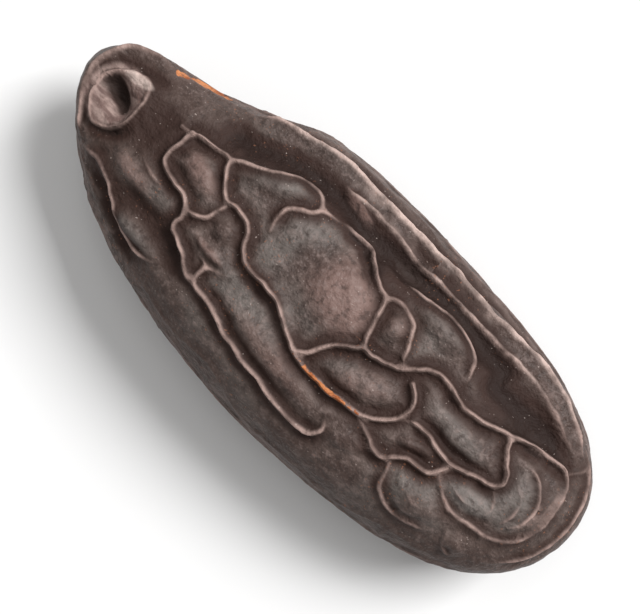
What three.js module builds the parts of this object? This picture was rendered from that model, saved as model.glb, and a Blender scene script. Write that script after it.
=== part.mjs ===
// Tonka bean: the dried seed of Dipteryx odorata, one solid piece of wrinkled black seed coat.
// The seed coat shrank as it dried, so it stands in thin crests that meet in a net on the broad
// face, with furrows beside them, soft lobes between them and a keel along one edge. A scar with
// a hollow in it sits on the narrow end. The underside has long wavering crests, and a small flat
// spot that the bean rests on.
//
// Millimetres. +X runs from the scar end to the blunt end, +Y to the keel, +Z up. The origin is
// under the middle of the bean, on the surface that it rests on.

import * as THREE from 'three';
import { mergeVertices } from 'three/addons/utils/BufferGeometryUtils.js';

// Driving sizes of the form under the wrinkles
const LENGTH = 35.6;
const WIDTH = 14.5;
const RISE = 5.0; // widest level up to the crown
const DROP = 4.7; // widest level down to the lowest point, before the flat spot is cut
const FLAT_CUT = 0.14; // how much of the lowest point the flat spot takes away
const TIP_SHIFT = 0.6; // both tips lie this far towards the keel from the middle
const TIP_LIFT = 0.5; // both tips lie this far above the widest level of the middle
const SECTION_POWER = 2.35; // 2 is an ellipse, more is boxier

// How full the outline is against a plain ellipse, as [x, share]: the scar end is narrow, with
// a shoulder on the keel side, and the other end is blunt.
const FULL_KEEL_SIDE = [
  [-17.8, 0.75], [-15, 0.71], [-12, 0.69], [-9, 0.81], [-6, 0.96], [0, 0.99], [6, 1.03],
  [11, 1.11], [15, 1.2], [17.8, 1.32],
];
const FULL_PLAIN_SIDE = [
  [-17.8, 0.8], [-15, 0.94], [-11, 0.94], [-7, 0.99], [0, 1], [6, 1.03], [11, 1.12], [15, 1.25],
  [17.8, 1.38],
];
const FULL_THICKNESS = [
  [-17.8, 1], [-15, 0.92], [-12, 0.9], [-6, 0.97], [0, 1], [8, 1.04], [14, 1.18], [17.8, 1.42],
];

// Crests of the broad face, seen from above: height and half-width of the fold, the share of
// the height left at each end of its path, and the path as [x, y].
const FACE_CRESTS = [
  { name: 'scar cell, keel side', high: 0.62, wide: 0.27, ends: [0.3, 1],
    path: [[-11.5, 1.4], [-10.5, 1.55], [-9.5, 1.75], [-8.6, 1.9], [-8.2, 1.4], [-7.7, 0.75],
      [-7.2, 0.3], [-6.9, 0.25]] },
  { name: 'scar cell, outer side', high: 0.6, wide: 0.27, ends: [1, 1],
    path: [[-10.85, 1.5], [-10.8, 0.7], [-11, 0], [-10.85, -0.45], [-10.35, -0.8],
      [-9.5, -0.95], [-8.9, -1.05], [-8.4, -1.35], [-8.1, -1.8], [-8.15, -2.3], [-7.95, -2.65]] },
  { name: 'scar cell, inner side', high: 0.42, wide: 0.3, ends: [1, 1],
    path: [[-6.9, 0.25], [-7, -0.4], [-7.2, -1.05], [-7.7, -1.35], [-8.25, -1.45]] },
  { name: 'middle crest', high: 0.64, wide: 0.27, ends: [1, 1],
    path: [[-6.9, 0.25], [-6.3, 0.4], [-5.6, 0.3], [-5.1, -0.1], [-4.8, -0.7], [-4.3, -1.15],
      [-3.5, -1.3], [-2.7, -1.25], [-1.8, -1.3], [-1.2, -1.6], [-0.4, -2], [0.4, -2.4],
      [1.2, -2.65], [2.2, -2.68], [3.2, -2.65], [4.2, -2.5], [5.2, -2.3], [5.9, -1.95],
      [6.5, -1.4], [6.8, -0.8], [6.75, -0.2], [6.45, 0.25], [6, 0.6]] },
  { name: 'lower crest', high: 0.6, wide: 0.3, ends: [1, 0.2],
    path: [[-7.95, -2.65], [-7.4, -2.9], [-6.8, -3.1], [-6.3, -3.5], [-5.8, -3.75], [-5, -3.8],
      [-4, -3.9], [-3, -4.2], [-2.2, -4.45], [-1.2, -4.6], [0, -4.8], [1.2, -4.95],
      [2.4, -5.05], [3.4, -5.1], [4.2, -4.85], [4.5, -4.4], [4.35, -3.9], [4.05, -3.5]] },
  { name: 'small fork', high: 0.42, wide: 0.28, ends: [1, 0.2],
    path: [[-5.4, -3.78], [-5.4, -3.2], [-5.35, -2.8], [-4.8, -2.55], [-4.25, -2.25]] },
  { name: 'small fork branch', high: 0.34, wide: 0.28, ends: [1, 0],
    path: [[-5.35, -2.8], [-5.9, -2.65], [-6.6, -2.75]] },
  { name: 'great cell, narrow side', high: 0.62, wide: 0.3, ends: [0.3, 0.3],
    path: [[-4.45, 0.8], [-4.65, 1.4], [-4.65, 2.1], [-4.2, 2.6], [-3.7, 3], [-3.3, 3.45],
      [-2.5, 3.65]] },
  { name: 'great cell, keel side', high: 0.68, wide: 0.3, ends: [0.2, 1],
    path: [[-2.5, 3.65], [-1.8, 3.9], [-1, 4.05], [-0.2, 4], [0.2, 3.6], [0.7, 3.2],
      [1.35, 2.8], [1.85, 2.65], [2.2, 2], [2.5, 1.3], [2.7, 0.5], [2.9, 0.1], [2.3, -0.5],
      [1.7, -1], [1.4, -1.7], [1.15, -2.15], [0.7, -2.5]] },
  { name: 'shoulder lobe edge', high: 0.4, wide: 0.36, ends: [1, 1],
    path: [[-8.6, 1.9], [-7.8, 2.3], [-7, 2.7], [-6.3, 3.1], [-5.6, 3.7], [-4.8, 4.05],
      [-4.1, 4], [-3.3, 3.45]] },
  { name: 'long crest to the blunt end', high: 0.66, wide: 0.28, ends: [1, 0.5],
    path: [[2.9, 0.1], [3.6, 0.1], [4.3, 0.35], [5, 0.75], [5.7, 1.4], [6.5, 1.9], [7.2, 1.95],
      [8, 1.75], [8.7, 1.65], [9.6, 1.8], [10.5, 2.05], [11.4, 2.35], [12.2, 2.7], [13.2, 3],
      [14.2, 3.15], [14.9, 3.15], [15.4, 2.6]] },
  { name: 'blunt lobe edge', high: 0.34, wide: 0.4, ends: [0.8, 0.6],
    path: [[15.4, 2.6], [15.65, 1.8], [15.85, 1], [15.9, 0.2], [15.7, -0.6], [15.3, -1.3],
      [14.7, -1.8], [14, -2.1], [13, -2.25], [12.2, -2.4], [11.4, -2.3], [10.7, -1.9],
      [10.2, -1.5]] },
  { name: 'blunt cell', high: 0.58, wide: 0.27, ends: [1, 0.3],
    path: [[11.4, 2.35], [11.7, 1.75], [12.2, 1.2], [12.6, 0.8], [12.65, 0.25], [12.3, -0.1],
      [11.6, -0.3], [10.9, -0.6], [10.2, -0.85], [9.6, -0.8], [8.8, -0.65], [8, -0.6],
      [7.4, -0.7], [6.95, -1]] },
  { name: 'hook', high: 0.52, wide: 0.27, ends: [1, 0.4],
    path: [[10.2, -0.85], [10.1, -1.4], [9.8, -1.95], [9.2, -2.05], [8.5, -2.2], [8, -2.6],
      [7.6, -3.05], [7.2, -3.1], [6.5, -2.9], [5.7, -2.6], [5.2, -2.35]] },
  { name: 'lower lobe edge', high: 0.36, wide: 0.36, ends: [0.5, 0.1],
    path: [[7.9, -2.75], [8.2, -3.4], [8.6, -4.15], [9.4, -4.55], [10.2, -4.6], [11.2, -4.35],
      [12.2, -3.9]] },
  { name: 'end lobe edge', high: 0.28, wide: 0.3, ends: [0.2, 0.1],
    path: [[12.6, -3.2], [12.9, -3.9], [13.5, -4.15], [14, -3.8], [14.3, -3.3]] },
  { name: 'keel side lobe edge', high: 0.5, wide: 0.3, ends: [0.1, 0.1],
    path: [[2, 4], [2.7, 4.25], [3.3, 4.2], [4.1, 4.35], [5.1, 4.52], [5.9, 4.5], [6.7, 4.25],
      [7.4, 3.75], [7.65, 3.2], [7.8, 2.75], [7.9, 2.3]] },
  { name: 'small lobe edge', high: 0.42, wide: 0.28, ends: [1, 0.5],
    path: [[1.9, 2.65], [2.5, 2.95], [3.2, 3], [3.8, 2.75], [4.2, 2.3], [4.5, 1.75],
      [4.85, 1.1]] },
  { name: 'keel', high: 0.56, wide: 0.28, ends: [0, 0.3],
    path: [[-9.6, 4.35], [-8.5, 4.75], [-7, 5.25], [-5.5, 5.65], [-4, 5.9], [-2, 5.9],
      [0, 5.85], [3, 5.95], [6, 5.9], [10, 5.8], [11.5, 5.6], [12.5, 5.3], [13.5, 4.95],
      [14.4, 4.55], [14.9, 4.3]] },
  { name: 'second keel', high: 0.28, wide: 0.28, ends: [0, 0.3],
    path: [[-4.2, 5.1], [-3, 5.25], [-1, 5.3], [2, 5.35], [4, 5.35], [6, 5.3], [9, 5.2],
      [11, 4.95], [12.5, 4.65], [13.6, 4.3], [14.6, 3.95]] },
  { name: 'keel end', high: 0.24, wide: 0.3, ends: [0.6, 0.6],
    path: [[14.9, 4.6], [15.4, 4.3], [15.5, 3.8], [15.1, 3.2]] },
  { name: 'blunt rim', high: 0.34, wide: 0.28, ends: [0, 0],
    path: [[14.7, 4.8], [15.6, 4.2], [16.4, 3.2], [16.9, 2], [17.1, 0.6], [16.9, -0.7],
      [16.3, -1.9], [15.4, -3]] },
  { name: 'scar end rim', high: 0.34, wide: 0.28, ends: [0, 0],
    path: [[-13.7, 3.1], [-15.3, 2.7], [-16.4, 2.1], [-17, 1.1], [-17.1, 0.2], [-16.65, -1],
      [-15.75, -2.1], [-14.7, -3]] },
  { name: 'scar ring, keel side', high: 0.55, wide: 0.42, ends: [1, 0.8],
    path: [[-16.5, -0.3], [-16.55, 0.3], [-16.25, 0.9], [-15.7, 1.25], [-14.9, 1.6],
      [-14.35, 1.65], [-13.95, 1.2], [-13.75, 0.3]] },
  { name: 'scar ring, plain side', high: 0.42, wide: 0.34, ends: [1, 0.8],
    path: [[-16.5, -0.3], [-16.1, -1], [-15.55, -1.5], [-14.9, -1.8], [-14.2, -1.45],
      [-13.8, -0.7], [-13.75, 0.3]] },
  { name: 'flank fold', high: 0.42, wide: 0.36, ends: [0.1, 0.1],
    path: [[-14.8, -2.95], [-13.5, -2.95], [-12.6, -3.2], [-12.1, -3.35], [-11.7, -3.7],
      [-11.1, -4], [-10.4, -4.45], [-9.5, -4.65], [-8.6, -4.8], [-7.7, -4.65], [-7.1, -4.3]] },
  { name: 'scar fold', high: 0.22, wide: 0.42, ends: [0, 0],
    path: [[-12.4, -1], [-11.6, -1.25], [-10.5, -1.5], [-9.2, -1.9]] },
];

// Broad swells and hollows of the broad face, as the crests are, with negative heights for the
// hollows. They add up, where of the crests only the highest counts.
const FACE_SWELLS = [
  { name: 'rim round the scar end', high: 0.3, wide: 0.5, ends: [0, 0],
    path: [[-13.5, 3.2], [-15.2, 2.8], [-16.5, 2.1], [-17.15, 1.1], [-17.2, 0.2], [-16.8, -1],
      [-15.9, -2.1], [-14.8, -3]] },
  { name: 'dip inside the rim', high: -0.3, wide: 0.42, ends: [0, 0],
    path: [[-12.9, 2.2], [-14.4, 2.3], [-15.7, 1.85], [-16.55, 1.1], [-16.8, 0.1],
      [-16.55, -0.9], [-15.8, -1.9], [-14.9, -2.35]] },
  { name: 'bowl of the scar', high: -0.7, wide: 0.8, ends: [1, 1],
    path: [[-15.7, 0.2], [-14.75, -0.1]] },
  { name: 'hollow of the scar', high: -0.9, wide: 0.5, ends: [0.2, 0.3],
    path: [[-16.4, 0.2], [-15.85, 0.37], [-15.25, 0.27], [-14.55, -0.4]] },
  { name: 'dip below the scar', high: -0.4, wide: 0.32, ends: [0, 0],
    path: [[-15.4, -2.3], [-14.6, -1.95], [-13.8, -1.35], [-13.2, -0.5]] },
  { name: 'neck beside the scar', high: -0.3, wide: 0.9, ends: [0.3, 0.3],
    path: [[-12.9, 2.3], [-12.5, 1], [-12.4, -0.4], [-13.2, -1.6]] },
  { name: 'foot of the keel', high: 0.5, wide: 0.7, ends: [0, 0.3],
    path: [[-9.6, 4.1], [-7, 5.1], [-5, 5.6], [-3, 5.75], [0, 5.75], [3, 5.8], [6, 5.75],
      [9, 5.7], [11, 5.45], [12.5, 5.1], [13.6, 4.65], [14.6, 4.2]] },
  { name: 'trough at the shoulder', high: -0.6, wide: 0.95, ends: [0.2, 1],
    path: [[-10.5, 2.8], [-8.5, 3.3], [-6.5, 4.3], [-4.5, 4.7], [-2, 4.6], [0.5, 4.6],
      [2, 4.85]] },
  { name: 'trough at the blunt end', high: -0.65, wide: 0.95, ends: [0.8, 0.2],
    path: [[2, 4.85], [5, 5.05], [8.5, 4.5], [9.3, 3.6], [11, 3.7], [13, 3.85], [14.6, 3.7]] },
  { name: 'groove inside the keel', high: -0.25, wide: 0.2, ends: [0, 0],
    path: [[-4.4, 5.4], [-2, 5.6], [1, 5.6], [4, 5.65], [8, 5.55], [11, 5.3], [13, 4.85]] },
  { name: 'groove outside the keel', high: -0.25, wide: 0.3, ends: [0, 0.3],
    path: [[-8, 5.4], [-6, 6.05], [-3, 6.5], [0, 6.45], [4, 6.55], [8, 6.5], [11, 6.15],
      [13, 5.5], [14.4, 4.95]] },
  { name: 'slit in the hook', high: -0.35, wide: 0.28, ends: [0.3, 0.3],
    path: [[8.5, -1.75], [9.1, -1.75], [9.6, -1.7]] },
  { name: 'valley in the long cell', high: -0.22, wide: 0.3, ends: [0, 0],
    path: [[7.2, -0.15], [9, -0.3], [11, -0.2], [12.2, 0.15]] },
  { name: 'foot of the middle crest', high: 0.28, wide: 0.42, ends: [0.3, 0.3],
    path: [[-4, -1], [-3.2, -1], [-2.2, -1], [-1.4, -1.25], [-0.6, -1.75], [0.3, -2.25]] },
  { name: 'valley under the net', high: -0.35, wide: 0.6, ends: [0, 0],
    path: [[-12, -2.9], [-10.4, -3.1], [-8.6, -3.3], [-7, -3.9], [-5.8, -4.5]] },
  { name: 'valley beside the flank fold', high: -0.45, wide: 0.42, ends: [0, 0],
    path: [[-13.8, -3.5], [-12.4, -3.9], [-11.3, -4.5], [-9.8, -5.1], [-8, -5.4]] },
  { name: 'broad fold of the flank', high: 0.28, wide: 0.5, ends: [0, 0],
    path: [[-14.2, -3.9], [-12.5, -4.7], [-10.5, -5.4], [-8.5, -5.9], [-6.5, -6.2]] },
];

// Soft lobes between the crests, as [x, y, half-length, half-width, turn in degrees, height].
const FACE_LOBES = [
  [0.5, 1, 2.6, 2.1, -25, 0.53],
  [-3.3, 1.9, 1.3, 1.2, 20, 0.25],
  [-9, 0.3, 1.8, 0.8, -15, 0.33],
  [-5.7, 2.9, 2.2, 0.8, 28, 0.43],
  [-6, -0.9, 0.8, 0.6, 0, 0.25],
  [-5.8, -2.1, 1.2, 0.3, -4, 0.33],
  [4.2, -1.2, 2.1, 0.9, 22, 0.38],
  [9.4, 0.45, 3, 0.8, -3, 0.18],
  [8.3, -1.5, 1, 0.4, 18, 0.28],
  [5.3, 3.65, 2.3, 0.8, -3, 0.5],
  [3.4, 1.95, 0.9, 1, -30, 0.43],
  [13.8, 0.3, 1.9, 2, 10, 0.38],
  [12.2, -1.4, 1.6, 0.7, 12, 0.33],
  [10.3, -3.4, 2, 1, 5, 0.43],
  [13.4, -3.5, 0.8, 0.5, 0, 0.25],
  [-0.2, -3.5, 4, 0.85, -6, 0.38],
  [5.9, -3.7, 1.3, 0.6, 25, 0.25],
  [-9.3, -4.2, 1.9, 0.4, -6, 0.38],
  [-11.5, -2.1, 1.7, 0.6, -8, 0.25],
  [-2.1, 5, 1.5, 0.25, -6, 0.25],
];

// Rule for the long wavering crests of the sides and the underside
const SEED = 11;
const LANES = 17; // crests side by side from one side round the underside to the other
const LANE_FIRST = 27; // degrees round the section, 0 at the keel and -90 underneath
const LANE_LAST = -207;
const LANE_REACH = 17.1; // how far along the bean a crest may run, from the middle
const LANE_SHORT = 3.4; // and how much shorter some are, at each end
const LANE_HIGH = 0.44;
const LANE_WIDE = 0.3;
const LANE_RISE = 5; // the outermost lanes are lower, this many on each side
const LANE_STEP = 1.3; // between the points of a path
const SWAY_SLOW = { turn: 6, over: 2.6 }; // degrees round the section, over mm along the bean
const SWAY_QUICK = { turn: 3, over: 0.95 };
const LINKS_PER_LANE = 4; // short crests across to the next lane
const LINK_HIGH = 0.7; // their height, as a share of the lanes'
const LINK_PLACE = [0.2, 0.8]; // where a link may start in its own part of the lane
const LINK_LEAN = 0.8; // how far along the bean its far end may lie from its start
const LINK_STEPS = [0, 0.35, 0.65, 1];
const REST_CALM = [6.5, 3.6]; // half-length and half-width of the calm skin round the flat spot
const REST_FLAT = 0.5; // the share of it that has no relief at all

// Where each use of the rule's repeatable numbers starts in their row
const DRAWS = { slow: 0, quick: 40, start: 80, end: 120, place: 200, lean: 400 };
const NOISE_STEP = 12.9898; // these two scatter the sines that the numbers come from
const NOISE_SPREAD = 43758.5453;

// Relief of the skin
const FURROW_DEEP = 0.38; // beside a crest of the usual height
const FURROW_WIDE = 0.65;
const CREST_USUAL = 0.6;
const CREST_POWER = 1.6; // 2 is a round crest, less is sharper
const LOBE_TOP = 0.25; // a lobe is flat up to this share of its reach
const LOBE_END = 1.15; // and has come down at this one
const REACH = 3; // past this a fold has no part in the relief

// Mesh: cells along the bean, across its broad faces and over its edges
const CELLS_LONG = 62;
const CELLS_BROAD = 24;
const CELLS_EDGE = 16;
const CAP_ANGLE = 33; // degrees of the tip that each end grid covers
const CAP_MIX = 0.45; // evens out the cells' length along the bean
const FADE = 1.6; // a crest comes down to its end over this length
const NEAR = 0.25; // a vertex this near a crest moves almost onto it, so that the crest stays sharp
const NEAR_KEEPS = 0.14; // the share of its distance that it keeps
const DRAWN = 0.8; // a vertex up to this far moves part of the way
const PATH_STEP = 0.3; // between the samples of a crest's smooth path
const PATH_INSIDE = 0.995; // paths over the broad face stay inside this share of the outline
const SAME_PLACE = 1e-5; // corners closer than this are one

const HALF = LENGTH / 2;
const radians = THREE.MathUtils.degToRad;

// A repeatable number from 0 to 1 for each use and whole n
function draw(use, n) {
  const s = Math.sin((DRAWS[use] + n) * NOISE_STEP + SEED) * NOISE_SPREAD;
  return s - Math.floor(s);
}

// A smooth value between the rows of a table of [x, value]
function smoothAt(table, x) {
  const last = table.length - 1;
  let k = 0;
  while (k < last - 1 && x > table[k + 1][0]) k += 1;
  const [x0, v0] = table[k];
  const [x1, v1] = table[k + 1];
  const slope = (i) => {
    const a = table[Math.max(0, i - 1)];
    const b = table[Math.min(last, i + 1)];
    return (b[1] - a[1]) / (b[0] - a[0]);
  };
  const t = THREE.MathUtils.clamp((x - x0) / (x1 - x0), 0, 1);
  const w = x1 - x0;
  const rise = t * t * (3 - 2 * t);
  return v0 + (v1 - v0) * rise
    + slope(k) * w * t * (1 - t) * (1 - t)
    - slope(k + 1) * w * t * t * (1 - t);
}

// The section at x: its middle, and its reach to the keel side, the plain side, up and down
function section(x) {
  const u = THREE.MathUtils.clamp(x / HALF, -1, 1);
  const round = Math.sqrt(Math.max(0, 1 - u * u));
  const thick = round * smoothAt(FULL_THICKNESS, x);
  return {
    y: TIP_SHIFT * u * u,
    z: TIP_LIFT * u * u,
    keel: (WIDTH / 2) * round * smoothAt(FULL_KEEL_SIDE, x),
    plain: (WIDTH / 2) * round * smoothAt(FULL_PLAIN_SIDE, x),
    up: RISE * thick,
    down: DROP * thick,
  };
}

// The form under the wrinkles, at x along the bean and an angle round its section
function formAt(x, angle) {
  const s = section(x);
  const side = Math.cos(angle);
  const up = Math.sin(angle);
  const power = SECTION_POWER;
  const r = (Math.abs(side) ** power + Math.abs(up) ** power) ** (-1 / power);
  return new THREE.Vector3(
    x,
    s.y + r * side * (side > 0 ? s.keel : s.plain),
    s.z + r * up * (up > 0 ? s.up : s.down),
  );
}

// The point of the form's upper side over [x, y]
function formOver([x, y]) {
  const s = section(x);
  const reach = y > s.y ? s.keel : s.plain;
  const share = Math.min(PATH_INSIDE, Math.abs(y - s.y) / reach);
  return new THREE.Vector3(x, y, s.z + s.up * (1 - share ** SECTION_POWER) ** (1 / SECTION_POWER));
}

// A fold's samples along its smooth path, with the height left at each
function fold({ high, wide, ends }, points) {
  const curve = new THREE.CatmullRomCurve3(points, false, 'centripetal');
  const length = curve.getLength();
  const count = Math.max(3, Math.round(length / PATH_STEP));
  const samples = curve.getSpacedPoints(count);
  const heights = samples.map((_, i) => {
    const run = (length * i) / count;
    const start = THREE.MathUtils.lerp(ends[0], 1, THREE.MathUtils.smoothstep(run, 0, FADE));
    const end = THREE.MathUtils.lerp(ends[1], 1, THREE.MathUtils.smoothstep(length - run, 0, FADE));
    return high * Math.min(start, end);
  });
  return { samples, heights, wide, box: new THREE.Box3().setFromPoints(samples) };
}

// A crest of the underside wavers along its lane
function laneAngle(lane, x) {
  const middle = LANE_FIRST + (LANE_LAST - LANE_FIRST) * (lane / (LANES - 1));
  const slow = Math.sin(x / SWAY_SLOW.over + 2 * Math.PI * draw('slow', lane));
  const quick = Math.sin(x / SWAY_QUICK.over + 2 * Math.PI * draw('quick', lane));
  return radians(middle + SWAY_SLOW.turn * slow + SWAY_QUICK.turn * quick);
}

function laneFolds() {
  const folds = [];
  for (let lane = 0; lane < LANES; lane += 1) {
    const inward = Math.min(lane, LANES - 1 - lane) + 1;
    const high = LANE_HIGH * Math.min(1, inward / LANE_RISE);
    const from = -LANE_REACH + LANE_SHORT * draw('start', lane);
    const to = LANE_REACH - LANE_SHORT * draw('end', lane);
    const points = [];
    for (let x = from; x < to; x += LANE_STEP) points.push(formAt(x, laneAngle(lane, x)));
    folds.push(fold({ high, wide: LANE_WIDE, ends: [0, 0] }, points));
    if (lane === LANES - 1) break;
    for (let link = 0; link < LINKS_PER_LANE; link += 1) {
      const number = lane * 10 + link;
      const share = THREE.MathUtils.lerp(...LINK_PLACE, draw('place', number));
      const reach = LANE_REACH - LANE_SHORT;
      const x = THREE.MathUtils.lerp(-reach, reach, (link + share) / LINKS_PER_LANE);
      const lean = LINK_LEAN * (2 * draw('lean', number) - 1);
      const path = LINK_STEPS.map((t) => formAt(
        x + lean * t,
        THREE.MathUtils.lerp(laneAngle(lane, x), laneAngle(lane + 1, x + lean), t),
      ));
      folds.push(fold({ high: LINK_HIGH * high, wide: LANE_WIDE, ends: [1, 1] }, path));
    }
  }
  return folds;
}

// The nearest place of a fold to p: how far it is, the point itself and the height there
const segment = new THREE.Line3();
const onSegment = new THREE.Vector3();
function nearest(folded, p, reach) {
  const found = { distance: Infinity, point: new THREE.Vector3(), height: 0 };
  if (folded.box.distanceToPoint(p) > reach) return found;
  for (let i = 0; i < folded.samples.length - 1; i += 1) {
    segment.set(folded.samples[i], folded.samples[i + 1]);
    const t = segment.closestPointToPointParameter(p, true);
    segment.at(t, onSegment);
    const distance = onSegment.distanceTo(p);
    if (distance < found.distance) {
      found.distance = distance;
      found.point.copy(onSegment);
      found.height = THREE.MathUtils.lerp(folded.heights[i], folded.heights[i + 1], t);
    }
  }
  return found;
}

const crests = [...FACE_CRESTS.map((c) => fold(c, c.path.map(formOver))), ...laneFolds()];
const swells = FACE_SWELLS.map((s) => fold(s, s.path.map(formOver)));

// How far the skin stands out from the form at p
function relief(p) {
  let crest = 0;
  let furrow = 0;
  for (const c of crests) {
    const { distance, height } = nearest(c, p, REACH);
    const share = height / CREST_USUAL;
    crest = Math.max(crest, height * Math.exp(-((distance / c.wide) ** CREST_POWER)));
    furrow = Math.max(furrow, FURROW_DEEP * share * Math.exp(-((distance / FURROW_WIDE) ** 2)));
  }
  let out = crest - furrow;
  for (const s of swells) {
    const { distance, height } = nearest(s, p, REACH);
    out += height * Math.exp(-((distance / s.wide) ** 2));
  }
  if (p.z > 0) return out + lobes(p);
  const calm = Math.hypot(p.x / REST_CALM[0], p.y / REST_CALM[1]);
  return out * THREE.MathUtils.smoothstep(calm, REST_FLAT, 1);
}

function lobes(p) {
  let out = 0;
  for (const [x, y, long, broad, turn, high] of FACE_LOBES) {
    const c = Math.cos(radians(turn));
    const s = Math.sin(radians(turn));
    const along = ((p.x - x) * c + (p.y - y) * s) / long;
    const across = ((p.y - y) * c - (p.x - x) * s) / broad;
    const far = Math.hypot(along, across);
    out += high * (1 - THREE.MathUtils.smoothstep(far, LOBE_TOP, LOBE_END));
  }
  return out;
}

// Where a vertex of the 2 by 2 by 2 box goes on the form: the box's long sides wrap round the
// bean, and each of its ends spreads over a tip.
function wrap(box) {
  const side = box.y * Math.sqrt(1 - (box.z * box.z) / 2);
  const up = box.z * Math.sqrt(1 - (box.y * box.y) / 2);
  const cap = radians(CAP_ANGLE);
  const a = Math.abs(box.x);
  const even = THREE.MathUtils.lerp(
    Math.acos(a * Math.cos(cap)),
    Math.PI / 2 - a * (Math.PI / 2 - cap),
    CAP_MIX,
  );
  const fromTip = a > 1 - SAME_PLACE ? cap * Math.hypot(side, up) : even;
  return formAt(Math.sign(box.x) * HALF * Math.cos(fromTip), Math.atan2(up, side));
}

// Moves a vertex near a crest onto it or towards it, along the skin
function drawToCrest(p) {
  let best = { distance: DRAWN };
  for (const c of crests) {
    const found = nearest(c, p, DRAWN);
    if (found.distance < best.distance) best = found;
  }
  if (best.distance >= DRAWN) return;
  const kept = NEAR_KEEPS * Math.min(best.distance, NEAR);
  const beyond = Math.max(0, best.distance - NEAR) / (DRAWN - NEAR);
  const left = THREE.MathUtils.lerp(kept, DRAWN, beyond);
  p.lerp(best.point, 1 - left / Math.max(best.distance, SAME_PLACE));
}

function beanGeometry() {
  const box = new THREE.BoxGeometry(2, 2, 2, CELLS_LONG, CELLS_BROAD, CELLS_EDGE);
  box.deleteAttribute('normal');
  box.deleteAttribute('uv');
  const bean = mergeVertices(box, SAME_PLACE);
  const place = bean.getAttribute('position');
  const points = [];
  for (let i = 0; i < place.count; i += 1) {
    const p = wrap(new THREE.Vector3().fromBufferAttribute(place, i));
    points.push(p);
    place.setXYZ(i, p.x, p.y, p.z);
  }
  bean.computeVertexNormals();

  const normal = new THREE.Vector3();
  points.forEach(drawToCrest);
  const heights = points.map(relief);

  // Each square of the grid is split along the diagonal that is nearer to the relief
  const index = bean.getIndex().array;
  const centre = new THREE.Vector3();
  for (let k = 0; k < index.length; k += 6) {
    const [a, b, d, , c] = index.slice(k, k + 6);
    centre.set(0, 0, 0);
    for (const i of [a, b, c, d]) centre.addScaledVector(points[i], 0.25);
    const there = relief(centre);
    const first = Math.abs(there - (heights[b] + heights[d]) / 2);
    const second = Math.abs(there - (heights[a] + heights[c]) / 2);
    if (second < first) index.set([a, b, c, a, c, d], k);
  }
  points.forEach((p, i) => {
    normal.fromBufferAttribute(bean.getAttribute('normal'), i);
    p.addScaledVector(normal, heights[i]);
  });

  const rest = -DROP + FLAT_CUT;
  points.forEach((p, i) => place.setXYZ(i, p.x, p.y, Math.max(p.z, rest)));
  bean.deleteAttribute('normal');
  bean.computeBoundingBox();
  const middle = bean.boundingBox.getCenter(new THREE.Vector3());
  bean.translate(-middle.x, -middle.y, -bean.boundingBox.min.z);
  bean.computeVertexNormals();
  return bean;
}

const seedCoat = new THREE.MeshStandardMaterial({
  color: 0x2c2422,
  roughness: 0.5,
  metalness: 0,
});

const bean = new THREE.Mesh(beanGeometry(), seedCoat);
bean.name = 'tonka_bean';

const group = new THREE.Group();
group.add(bean);

export default group;
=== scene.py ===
"""A tonka bean: one dried seed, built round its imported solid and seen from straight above.

The seed coat is near-black and satin. It dried into thin crests that meet in a net on the broad
face, with furrows beside them and soft lobes between. A keel runs along one edge, and a scar with
a hollow in it sits on the narrow end.
"""

import math

import bpy
import numpy as np
from mathutils import Matrix, Vector


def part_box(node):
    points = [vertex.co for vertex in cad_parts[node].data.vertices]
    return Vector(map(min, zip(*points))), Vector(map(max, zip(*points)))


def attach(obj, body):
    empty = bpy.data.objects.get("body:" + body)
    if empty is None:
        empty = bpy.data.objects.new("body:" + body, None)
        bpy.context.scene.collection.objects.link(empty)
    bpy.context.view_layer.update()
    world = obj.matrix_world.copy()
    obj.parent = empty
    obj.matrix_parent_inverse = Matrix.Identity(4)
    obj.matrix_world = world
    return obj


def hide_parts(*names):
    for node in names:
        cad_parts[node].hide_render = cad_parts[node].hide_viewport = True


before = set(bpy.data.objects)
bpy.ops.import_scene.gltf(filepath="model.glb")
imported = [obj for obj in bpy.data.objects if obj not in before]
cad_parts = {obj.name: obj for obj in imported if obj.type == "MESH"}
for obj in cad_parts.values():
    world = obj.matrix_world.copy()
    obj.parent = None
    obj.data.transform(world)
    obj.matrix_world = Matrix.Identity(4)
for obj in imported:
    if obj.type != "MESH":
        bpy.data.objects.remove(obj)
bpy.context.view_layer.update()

# The seed's form
# One flattened seed, narrow at the scar end, with a shoulder on the keel side, and blunt at the
# other. This is the form that the kernel gives it, before the coat wrinkled. All the shapes of
# the seed are worked out in millimetres, and put into metres at the end.

LENGTH = 35.6
WIDTH = 14.5
RISE = 5.0  # from the widest level up to the crown
DROP = 4.7  # and down to the lowest point, before the flat spot is cut
FLAT_CUT = 0.14
TIP_SHIFT = 0.6  # both tips lie this far towards the keel
TIP_LIFT = 0.5  # and this far over the widest level of the middle
SECTION_POWER = 2.35  # 2 is an ellipse, more is boxier
PATH_INSIDE = 0.995  # paths over the face stay inside this share of the outline
HALF = LENGTH / 2

# How full the outline is against a plain ellipse, as (x, share)
FULL_KEEL_SIDE = (
    (-17.8, 0.75), (-15, 0.71), (-12, 0.69), (-9, 0.81), (-6, 0.96),
    (0, 0.99), (6, 1.03), (11, 1.11), (15, 1.2), (17.8, 1.32),
)
FULL_PLAIN_SIDE = (
    (-17.8, 0.8), (-15, 0.94), (-11, 0.94), (-7, 0.99),
    (0, 1), (6, 1.03), (11, 1.12), (15, 1.25), (17.8, 1.38),
)
FULL_THICKNESS = (
    (-17.8, 1), (-15, 0.92), (-12, 0.9), (-6, 0.97), (0, 1), (8, 1.04), (14, 1.18), (17.8, 1.42),
)


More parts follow.
